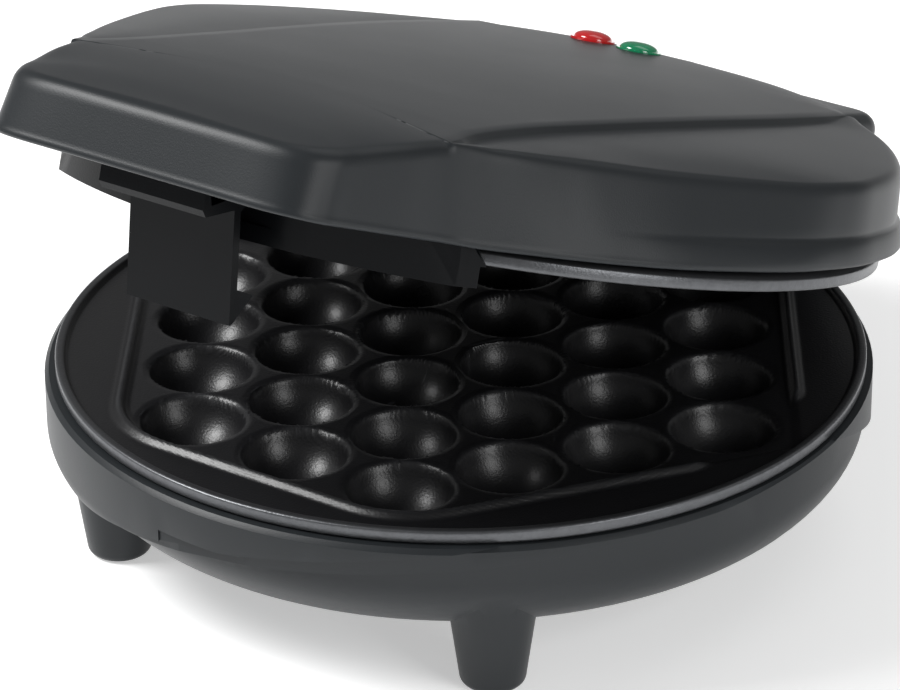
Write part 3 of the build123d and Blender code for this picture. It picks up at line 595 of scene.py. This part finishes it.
CLOSING_GAP = 0.3 * MM          # between the two plates when the lid is shut
SKIRT_RADIUS = 102 * MM         # what lies outside this, below the edge, is the plate's skirt
SKIRT_PULL = 3.4 * MM           # how far it is drawn in, to stay inside the lid's flank
EDGE_BAND = 3.35 * MM           # height of the machined edge above it


class WAFFLE_OT_upper_plate(bpy.types.Operator):
    """Build the upper cast plate, a mirror of the lower one, in the lid"""

    bl_idname = "waffle.upper_plate"
    bl_label = "Upper Plate"

    def execute(self, context):
        source = bpy.data.objects["lower_cast_plate"]
        plate = bpy.data.objects.new("upper_cast_plate", source.data.copy())
        context.scene.collection.objects.link(plate)
        about = RIM_HEIGHT + CLOSING_GAP / 2
        flip = Matrix.Translation((0, 0, 2 * about)) @ Matrix.Scale(-1, 4, (0, 0, 1))
        for vertex in plate.data.vertices:
            span = math.hypot(vertex.co.x, vertex.co.y - PLATE_CENTRE.y)
            if vertex.co.z < RIM_HEIGHT - EDGE_BAND and span > SKIRT_RADIUS:
                pull = (span - SKIRT_PULL) / span
                vertex.co.x *= pull
                vertex.co.y = PLATE_CENTRE.y + (vertex.co.y - PLATE_CENTRE.y) * pull
        plate.data.transform(lid_matrix() @ flip)
        plate.data.flip_normals()
        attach(plate, body_of_node("upper_plate"))
        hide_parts("upper_plate")
        return {"FINISHED"}


class WAFFLE_OT_mouldings(bpy.types.Operator):
    """Finish and soften the base and the latch"""

    bl_idname = "waffle.mouldings"
    bl_label = "Mouldings"

    def execute(self, context):
        for name in ("base_housing", "latch"):
            node = paint_node(name)
            soften(node, sizes().edge_softness)
            shade_by_angle(node)
        return {"FINISHED"}


class WAFFLE_OT_small_parts(bpy.types.Operator):
    """Finish the nodes that no other step finishes"""

    bl_idname = "waffle.small_parts"
    bl_label = "Small Parts"

    def execute(self, context):
        done = {"base_housing", "lid_cover", "lid_inner_frame", "latch", "lower_plate", "upper_plate"}
        for name in frame["nodes"]:
            if name not in done:
                shade_by_angle(paint_node(name))
        return {"FINISHED"}


# Lid cover, drawn with the lid shut, in millimetres from the plate's axis and rim plane

LID_BOTTOM = (
    (0, -153.6, 11.4), (20, -153.6, 11.4), (37, -153.2, 11.3), (45.5, -150.6, 11.1), (50.2, -144.5, 10.3),
    (52.6, -137, 9.5), (57.6, -122.3, 8.0), (61.6, -107.5, 6.4), (66.4, -99.2, 5.6), (72.8, -90.4, 5.4),
    (80.2, -80.6, 5.3), (88.9, -67.8, 5.2), (98.6, -50, 5.2), (108.4, -24, 5.5), (112.2, -6, 5.9),
    (112.6, 14, 6.2), (106, 41, 6.2), (88, 71, 6.2), (63, 94, 6.2), (33, 108.3, 6.2), (0, 113.1, 6.2),
)
LID_TOP = (
    (0, -150.2, 27.8), (20, -150.1, 27.6), (36, -149.3, 27.3), (44.2, -146.4, 27.2), (49.0, -140.5, 27.5),
    (51.6, -133.5, 28.0), (55.9, -120.6, 29.6), (58.8, -109.5, 30.6),
    (63.4, -100.4, 30.4), (68.9, -91.3, 30.1),
    (74.4, -81.1, 29.6), (79.9, -70.9, 29.2), (90.7, -49.9, 28.2), (104.6, -17.5, 27.5), (109.8, 0, 27.6),
    (110.4, 16, 27.8), (103.5, 42, 28.4), (85.5, 70, 29.8), (62, 90, 31.4),
    (32.5, 105, 32.2), (0, 109.5, 32.4),
)
DECK_CREASE = (
    (58.8, -109.5), (56.5, -101), (54.8, -92), (54.2, -80), (54.4, -66), (55.2, -52), (57.2, -27),
    (60, 8), (62.4, 46), (62, 90),
)
SPINE = (
    (-160, 26.2), (-150, 27.8), (-130, 30.2), (-110, 31.9), (-90, 32.9),
    (-60, 33.9), (-20, 34.6), (20, 34.9),
    (60, 34.7), (90, 34.1), (115, 33.3),
)
LID_STATIONS = 200
TOP_FILLET = 3.6    # reach of the rounding between flank and deck
LID_WALL = 2.2
FLANK_HEIGHTS = (1.8, 2.8, 3.8, 4.8, 5.8, 6.6, 7.3, 8.0, 8.7, 9.6)
BEAD_HEIGHT = 3.2   # middle of the round bead above the bottom edge
BEAD_BULGE = 1.9
LENS_FLATNESS = 0.62
HUMP_FRONT = 104
HUMP_TOP = 27
HUMP_SIDE = 44.2
APRON_TOP = 4.6
APRON_RADIUS = 108.4
APRON_SPREAD = 35.0 / 31.0      # widens the apron from 31 to 35 degrees each side
PINCH = 7           # index of the point in the outlines where the shoulder starts
SHOULDER_END = 18   # and where it ends


def spline_point(points, place):
    # Catmull-Rom point at a fractional index
    index = min(int(place), len(points) - 2)
    t = place - index
    before = points[index - 1] if index > 0 else tuple(2 * a - b for a, b in zip(points[0], points[1]))
    after = points[index + 2] if index + 2 < len(points) else tuple(
        2 * a - b for a, b in zip(points[-1], points[-2]))
    result = []
    for p0, p1, p2, p3 in zip(before, points[index], points[index + 1], after):
        result.append(0.5 * (
            2 * p1 + (p2 - p0) * t + (2 * p0 - 5 * p1 + 4 * p2 - p3) * t * t
            + (3 * p1 - p0 - 3 * p2 + p3) * t ** 3
        ))
    return Vector(result)


def lookup(table, value):
    # smooth height along the spine
    for index in range(len(table) - 1):
        if value <= table[index + 1][0] or index == len(table) - 2:
            span = table[index + 1][0] - table[index][0]
            return spline_point(table, index + min(1.0, max(0.0, (value - table[index][0]) / span)))[1]
    raise RuntimeError("the spine table is empty")


def deck_height(x, y):
    # crowned deck: flatter across the handle than over the plates
    across = 1400 + (917 - 1400) * smooth_step(-110, -40, y)
    return lookup(SPINE, y) - x * x / (2 * across)


def lid_section(place):
    # the lid's surface from its bottom edge up and in to the spine, at one station
    low = spline_point(LID_BOTTOM, place)
    top = spline_point(LID_TOP, place)
    ahead = spline_point(LID_BOTTOM, min(len(LID_BOTTOM) - 1, place + 0.05))
    behind = spline_point(LID_BOTTOM, max(0, place - 0.05))
    along = (ahead - behind)
    along.z = 0
    along.normalize()
    outward = Vector((along.y, -along.x, 0))
    bead = smooth_step(10.6, 13.6, place)
    points = []
    for across, up in ((-1.6, 0.0), (-0.7, 0.05), (-0.15, 0.35), (0.15, 0.9)):
        points.append(low + outward * (across + bead * 1.0 * up) + Vector((0, 0, up)))
    for up in FLANK_HEIGHTS:
        bulge = bead * BEAD_BULGE * max(0.0, 1 - ((up - BEAD_HEIGHT) / 4.6) ** 2) ** 0.6 if up < 7.8 else 0.0
        hollow = -0.25 * bead * math.exp(-((up - 8.0) / 0.8) ** 2)
        on_wall = low.lerp(top, up / (top.z - low.z))
        points.append(on_wall + outward * (bulge + hollow))
    wall = (top - low)
    last_up = low.lerp(top, FLANK_HEIGHTS[-1] / (top.z - low.z))
    first_round = top - wall.normalized() * TOP_FILLET
    for share in (0.18, 0.36, 0.54, 0.72, 0.88):
        points.append(last_up.lerp(first_round, share))
    crease_share = (place - PINCH) / (SHOULDER_END - PINCH)
    on_shoulder = 0 < crease_share < 1
    if on_shoulder:
        crease_place = crease_share * (len(DECK_CREASE) - 1)
        crease = spline_point(DECK_CREASE, crease_place)
    else:
        crease = Vector((top.x, top.y))
    middle_y = max(-122.0, min(80.0, 0.84 * crease.y + 2))
    crease_height = deck_height(crease.x, crease.y)
    step = 1.5 * smooth_step(0.0, 0.16, crease_share) * (1 - smooth_step(0.93, 1.0, crease_share))
    shoulder_width = (Vector((top.x, top.y)) - crease).length
    if shoulder_width > 1.0:
        foot = Vector((crease.x, crease.y, crease_height - step))
        foot = foot.lerp(top, min(0.5, 2.4 / shoulder_width) * min(1.0, step))
        inward = (foot - top)
    else:
        foot = None
        inward = Vector((-top.x, middle_y - top.y, 0)).normalized() * 30
        inner = top + inward
        inward.z = deck_height(inner.x, inner.y) - top.z
    reach = min(TOP_FILLET, max(1.2, 0.45 * inward.length)) if foot is not None else TOP_FILLET
    start = top - wall.normalized() * TOP_FILLET
    end = top + inward.normalized() * reach
    if foot is None:
        end.z = deck_height(end.x, end.y) + (top.z - deck_height(top.x, top.y)) * 0.7
    for t in (0.0, 0.12, 0.25, 0.38, 0.5, 0.62, 0.75, 0.88, 1.0):
        points.append(start * (1 - t) ** 2 + top * 2 * t * (1 - t) + end * t * t)
    centre = Vector((0, middle_y, deck_height(0, middle_y)))
    lift = (top.z - deck_height(top.x, top.y)) if foot is None else 0.0
    if foot is not None:
        for share in (0.12, 0.25, 0.4, 0.55, 0.7, 0.82, 0.92, 1.0):
            bow = math.sin(math.pi * share) * 0.012 * shoulder_width
            points.append(end.lerp(foot, share) + Vector((0, 0, bow)))
        edge = Vector((crease.x, crease.y, crease_height))
        for share in (0.3, 0.7, 1.0):
            rise = smooth_step(0, 1, share)
            point = foot.lerp(edge, share)
            point.z = foot.z + (edge.z - foot.z) * rise
            points.append(point)
        begin = edge
    else:
        for share in (0.03, 0.06, 0.09, 0.12, 0.15, 0.18, 0.21, 0.24, 0.27, 0.3, 0.33):
            point = end.lerp(centre, share)
            point.z = deck_height(point.x, point.y) + lift * 0.7 * (1 - share) ** 6
            points.append(point)
        begin = points[-1]
    for index in range(1, 15):
        share = index / 14
        point = begin.lerp(centre, share)
        point.z = deck_height(point.x, point.y)
        if foot is None:
            point.z += lift * 0.7 * (1 - (0.33 + 0.67 * share)) ** 6
        points.append(point)
    points[-1].x = 0
    return points


def build_lid_shell():
    last = len(LID_BOTTOM) - 1
    columns = [lid_section(last * index / LID_STATIONS) for index in range(LID_STATIONS + 1)]
    for column in (columns[0], columns[-1]):
        for point in column:
            point.x = 0
    rows = len(columns[0])
    points = [point for column in columns for point in column]
    faces = []
    for index in range(LID_STATIONS):
        for row in range(rows - 1):
            first = index * rows + row
            faces.append((first, first + rows, first + rows + 1, first + 1))
    half = len(points)
    points += [Vector((-p.x, p.y, p.z)) for p in points]
    faces += [tuple(half + i for i in reversed(face)) for face in faces[:]]
    mesh = bpy.data.meshes.new("lid_shell")
    mesh.from_pydata([tuple(p * MM) for p in points], [], faces)
    work = bmesh.new()
    work.from_mesh(mesh)
    bmesh.ops.remove_doubles(work, verts=work.verts, dist=0.00003)
    bmesh.ops.dissolve_degenerate(work, dist=0.000005, edges=work.edges)
    bmesh.ops.recalc_face_normals(work, faces=work.faces)
    if sum(face.normal.z for face in work.faces) < 0:
        bmesh.ops.reverse_faces(work, faces=work.faces)
    work.to_mesh(mesh)
    work.free()
    mesh.shade_smooth()
    obj = bpy.data.objects.new("lid_shell", mesh)
    bpy.context.scene.collection.objects.link(obj)
    thick = obj.modifiers.new("Wall", "SOLIDIFY")
    thick.thickness = LID_WALL * MM
    thick.offset = -1
    thick.use_even_offset = False
    return obj


def apply_modifiers(obj):
    bpy.context.view_layer.update()
    graph = bpy.context.evaluated_depsgraph_get()
    mesh = bpy.data.meshes.new_from_object(obj.evaluated_get(graph))
    obj.modifiers.clear()
    obj.data = mesh
    return obj


def seat_in_lid(obj):
    # moves a piece drawn with the lid shut to the lid's place at rest
    obj.data.transform(lid_matrix() @ Matrix.Translation(PLATE_CENTRE))
    return obj


def node_copy(node_name, name):
    # copy of a node's mesh, turned back to the lid's shut place about the plate's axis
    mesh = frame["nodes"][node_name].data.copy()
    mesh.name = name
    mesh.materials.clear()
    mesh.transform((lid_matrix() @ Matrix.Translation(PLATE_CENTRE)).inverted())
    obj = bpy.data.objects.new(name, mesh)
    bpy.context.scene.collection.objects.link(obj)
    return obj


def outline_prism(name, inset, low, high):
    # closed prism on the lid's bottom outline, for trimming what lies inside it
    last = len(LID_BOTTOM) - 1
    right = []
    for index in range(121):
        place = last * index / 120
        ahead = spline_point(LID_BOTTOM, min(last, place + 0.05))
        along = ahead - spline_point(LID_BOTTOM, max(0, place - 0.05))
        along.z = 0
        along.normalize()
        point = spline_point(LID_BOTTOM, place) - Vector((along.y, -along.x, 0)) * inset
        right.append((max(0.0, point.x), point.y))
    loop = right + [(-x, y) for x, y in reversed(right[1:-1])]
    count = len(loop)
    points = [(x * MM, y * MM, z * MM) for z in (low, high) for x, y in loop]
    faces = [tuple(reversed(range(count))), tuple(range(count, 2 * count))]
    faces += [(i, (i + 1) % count, count + (i + 1) % count, count + i) for i in range(count)]
    mesh = bpy.data.meshes.new(name)
    mesh.from_pydata(points, [], faces)
    work = bmesh.new()
    work.from_mesh(mesh)
    bmesh.ops.recalc_face_normals(work, faces=work.faces)
    work.to_mesh(mesh)
    work.free()
    obj = bpy.data.objects.new(name, mesh)
    bpy.context.scene.collection.objects.link(obj)
    return obj


class WAFFLE_OT_lid(bpy.types.Operator):
    """Build the lid's smooth shell, its hinge cover, the trimmed inner frame and the lenses"""

    bl_idname = "waffle.lid"
    bl_label = "Lid"

    def execute(self, context):
        shell = apply_modifiers(build_lid_shell())
        seat_in_lid(shell)
        hump = node_copy("lid_cover", "lid_hinge_cover")
        work = bmesh.new()
        work.from_mesh(hump.data)
        bmesh.ops.remove_doubles(work, verts=work.verts, dist=0.00002)
        cuts = [
            (Vector((0, HUMP_FRONT * MM, 0)), Vector((0, -1, 0))),
            (Vector((0, 0, HUMP_TOP * MM)), Vector((0, 0, 1))),
        ]
        for side in (-1, 1):
            cuts.append((Vector((side * HUMP_SIDE * MM, 0, 0)), Vector((side, 0, 0))))
        for place, away in cuts:
            geometry = work.verts[:] + work.edges[:] + work.faces[:]
            bmesh.ops.bisect_plane(work, geom=geometry, plane_co=place, plane_no=away, clear_outer=True)
            open_edges = [edge for edge in work.edges if edge.is_boundary]
            bmesh.ops.holes_fill(work, edges=open_edges, sides=0)
        work.to_mesh(hump.data)
        work.free()
        seat_in_lid(hump)
        soften(hump, 1.2 * MM)
        ring = node_copy("lid_inner_frame", "lid_frame_black")
        work = bmesh.new()
        work.from_mesh(ring.data)
        bmesh.ops.remove_doubles(work, verts=work.verts, dist=0.00001)
        work.to_mesh(ring.data)
        work.free()
        for vertex in ring.data.vertices:
            span = math.hypot(vertex.co.x, vertex.co.y)
            turn = math.atan2(vertex.co.x, -vertex.co.y)
            if vertex.co.z < APRON_TOP * MM and span > APRON_RADIUS * MM and abs(turn) < math.radians(32):
                vertex.co.x = span * math.sin(turn * APRON_SPREAD)
                vertex.co.y = -span * math.cos(turn * APRON_SPREAD)
        prism = outline_prism("frame_trim", 2.6, -12, 40)
        trim = ring.modifiers.new("Trim", "BOOLEAN")
        trim.operation = "INTERSECT"
        trim.solver = "EXACT"
        trim.object = prism
        apply_modifiers(ring)
        bpy.data.objects.remove(prism)
        seat_in_lid(ring)
        soften(ring, 0.5 * MM)
        for obj, node, slot in (
            (shell, "lid_cover", "charcoal_plastic"), (hump, "lid_cover", "charcoal_plastic"),
            (ring, "lid_inner_frame", "black_plastic"),
        ):
            obj.data.materials.clear()
            obj.data.materials.append(finish_for(slot))
            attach(obj, body_of_node(node))
            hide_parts(node)
        for obj in (hump, ring):
            shade_by_angle(obj)
        for slot in ("red_lens", "green_lens"):
            cap = node_copy(slot, slot + "_cap")
            for vertex in cap.data.vertices:
                surface = deck_height(vertex.co.x / MM, vertex.co.y / MM) * MM
                if vertex.co.z > surface:
                    vertex.co.z = surface + (vertex.co.z - surface) * LENS_FLATNESS
            seat_in_lid(cap)
            cap.data.materials.append(finish_for(slot))
            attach(cap, body_of_node(slot))
            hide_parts(slot)
            shade_by_angle(cap)
        return {"FINISHED"}


# Stage

CAMERA_FOCAL_PX = 4415.24
IMAGE_WIDTH = 900
SENSOR_WIDTH = 36.0
CAMERA_AZIMUTH = 0.614751992
CAMERA_ELEVATION = 0.457688497
CAMERA_ROLL = -0.00656983260
CAMERA_DISTANCE = 10.9094874 * PLATE_RADIUS
CAMERA_AIM_X = 0.0263655379 * PLATE_RADIUS
CAMERA_AIM_Y = 0.0169239611 * PLATE_RADIUS


def add_camera():
    azimuth = CAMERA_AZIMUTH
    elevation = CAMERA_ELEVATION
    back = Vector((
        math.sin(azimuth) * math.cos(elevation), -math.cos(azimuth) * math.cos(elevation),
        math.sin(elevation),
    ))
    right = Vector((math.cos(azimuth), math.sin(azimuth), 0))
    up = back.cross(right)
    across = math.cos(CAMERA_ROLL) * right + math.sin(CAMERA_ROLL) * up
    upward = -math.sin(CAMERA_ROLL) * right + math.cos(CAMERA_ROLL) * up
    place = PLATE_CENTRE + back * CAMERA_DISTANCE - across * CAMERA_AIM_X - upward * CAMERA_AIM_Y
    data = bpy.data.cameras.new("camera")
    data.sensor_width = SENSOR_WIDTH
    data.lens = CAMERA_FOCAL_PX / IMAGE_WIDTH * SENSOR_WIDTH
    data.clip_end = 20
    camera = bpy.data.objects.new("camera", data)
    camera.matrix_world = Matrix.Translation(place) @ Matrix((across, upward, back)).transposed().to_4x4()
    bpy.context.scene.collection.objects.link(camera)
    bpy.context.scene.camera = camera
    return camera


def area_light(name, place, aim, size, power, colour=(1, 1, 1)):
    data = bpy.data.lights.new(name, "AREA")
    data.shape = "RECTANGLE"
    data.size, data.size_y = size
    data.energy = power
    data.color = colour
    lamp = bpy.data.objects.new(name, data)
    lamp.location = place
    lamp.rotation_euler = (Vector(aim) - Vector(place)).to_track_quat("-Z", "Y").to_euler()
    bpy.context.scene.collection.objects.link(lamp)
    return lamp


def floor_material():
    # matt white floor that glows a little, so that only the shadow stays grey
    material, tree, shader = new_material("Studio floor")
    shader.inputs["Base Color"].default_value = (0.9, 0.9, 0.9, 1)
    shader.inputs["Roughness"].default_value = 0.9
    shader.inputs["Emission Color"].default_value = (1, 1, 1, 1)
    shader.inputs["Emission Strength"].default_value = 0.45
    return material


def add_floor():
    floor_mesh = bpy.data.meshes.new("studio_floor")
    half = 6.0
    floor_mesh.from_pydata(
        [(-half, -half, 0), (half, -half, 0), (half, half, 0), (-half, half, 0)], [], [(0, 1, 2, 3)])
    floor = bpy.data.objects.new("studio_floor", floor_mesh)
    floor_mesh.materials.append(floor_material())
    bpy.context.scene.collection.objects.link(floor)
    return floor


def set_world():
    world = bpy.data.worlds.new("studio")
    bpy.context.scene.world = world
    world.use_nodes = True
    tree = world.node_tree
    background = tree.nodes["Background"]
    path = tree.nodes.new("ShaderNodeLightPath")
    white = tree.nodes.new("ShaderNodeBackground")
    white.inputs["Strength"].default_value = 1.0
    white.inputs["Color"].default_value = (1, 1, 1, 1)
    background.inputs["Color"].default_value = (1, 1, 1, 1)
    background.inputs["Strength"].default_value = 0.2
    chosen = tree.nodes.new("ShaderNodeMixShader")
    tree.links.new(path.outputs["Is Camera Ray"], chosen.inputs[0])
    tree.links.new(background.outputs[0], chosen.inputs[1])
    tree.links.new(white.outputs[0], chosen.inputs[2])
    tree.links.new(chosen.outputs[0], tree.nodes["World Output"].inputs["Surface"])


class WAFFLE_OT_studio(bpy.types.Operator):
    """Set up the pale studio, its lamps and the camera"""

    bl_idname = "waffle.studio"
    bl_label = "Studio"

    def execute(self, context):
        context.scene.view_settings.view_transform = "Standard"
        set_world()
        add_floor()
        add_camera()
        area_light("key", (-0.9, -0.7, 1.3), (0, 0, 0.08), (0.7, 0.7), 30)
        area_light("top", (0.15, 0.9, 1.4), (0, 0, 0.1), (1.4, 0.7), 3)
        area_light("right", (1.4, -0.3, 0.7), (0, 0, 0.06), (0.6, 0.9), 8)
        return {"FINISHED"}


class WAFFLE_PT_panel(bpy.types.Panel):
    """Lists the steps of the waffle maker's looks"""

    bl_label = "Waffle Maker"
    bl_idname = "WAFFLE_PT_panel"
    bl_space_type = "VIEW_3D"
    bl_region_type = "UI"
    bl_category = "Waffle Maker"

    def draw(self, context):
        for step in STEPS:
            self.layout.operator(step.bl_idname)
        for group in (context.scene.waffle_sizes, context.scene.waffle_colours):
            for name in group.bl_rna.properties.keys():
                if name not in ("rna_type", "name"):
                    self.layout.prop(group, name)


STEPS = (
    WAFFLE_OT_studio, WAFFLE_OT_mouldings, WAFFLE_OT_small_parts, WAFFLE_OT_lid, WAFFLE_OT_lower_plate,
    WAFFLE_OT_upper_plate,
)
CLASSES = (WAFFLE_PG_sizes, WAFFLE_PG_colours, *STEPS, WAFFLE_PT_panel)


def register():
    for cls in CLASSES:
        bpy.utils.register_class(cls)
    bpy.types.Scene.waffle_sizes = bpy.props.PointerProperty(type=WAFFLE_PG_sizes)
    bpy.types.Scene.waffle_colours = bpy.props.PointerProperty(type=WAFFLE_PG_colours)


def unregister():
    del bpy.types.Scene.waffle_colours
    del bpy.types.Scene.waffle_sizes
    for cls in reversed(CLASSES):
        bpy.utils.unregister_class(cls)


def main():
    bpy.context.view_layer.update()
    register()
    for step in STEPS:
        group, operator = step.bl_idname.split(".")
        getattr(getattr(bpy.ops, group), operator)()


if __name__ == "__main__":
    main()
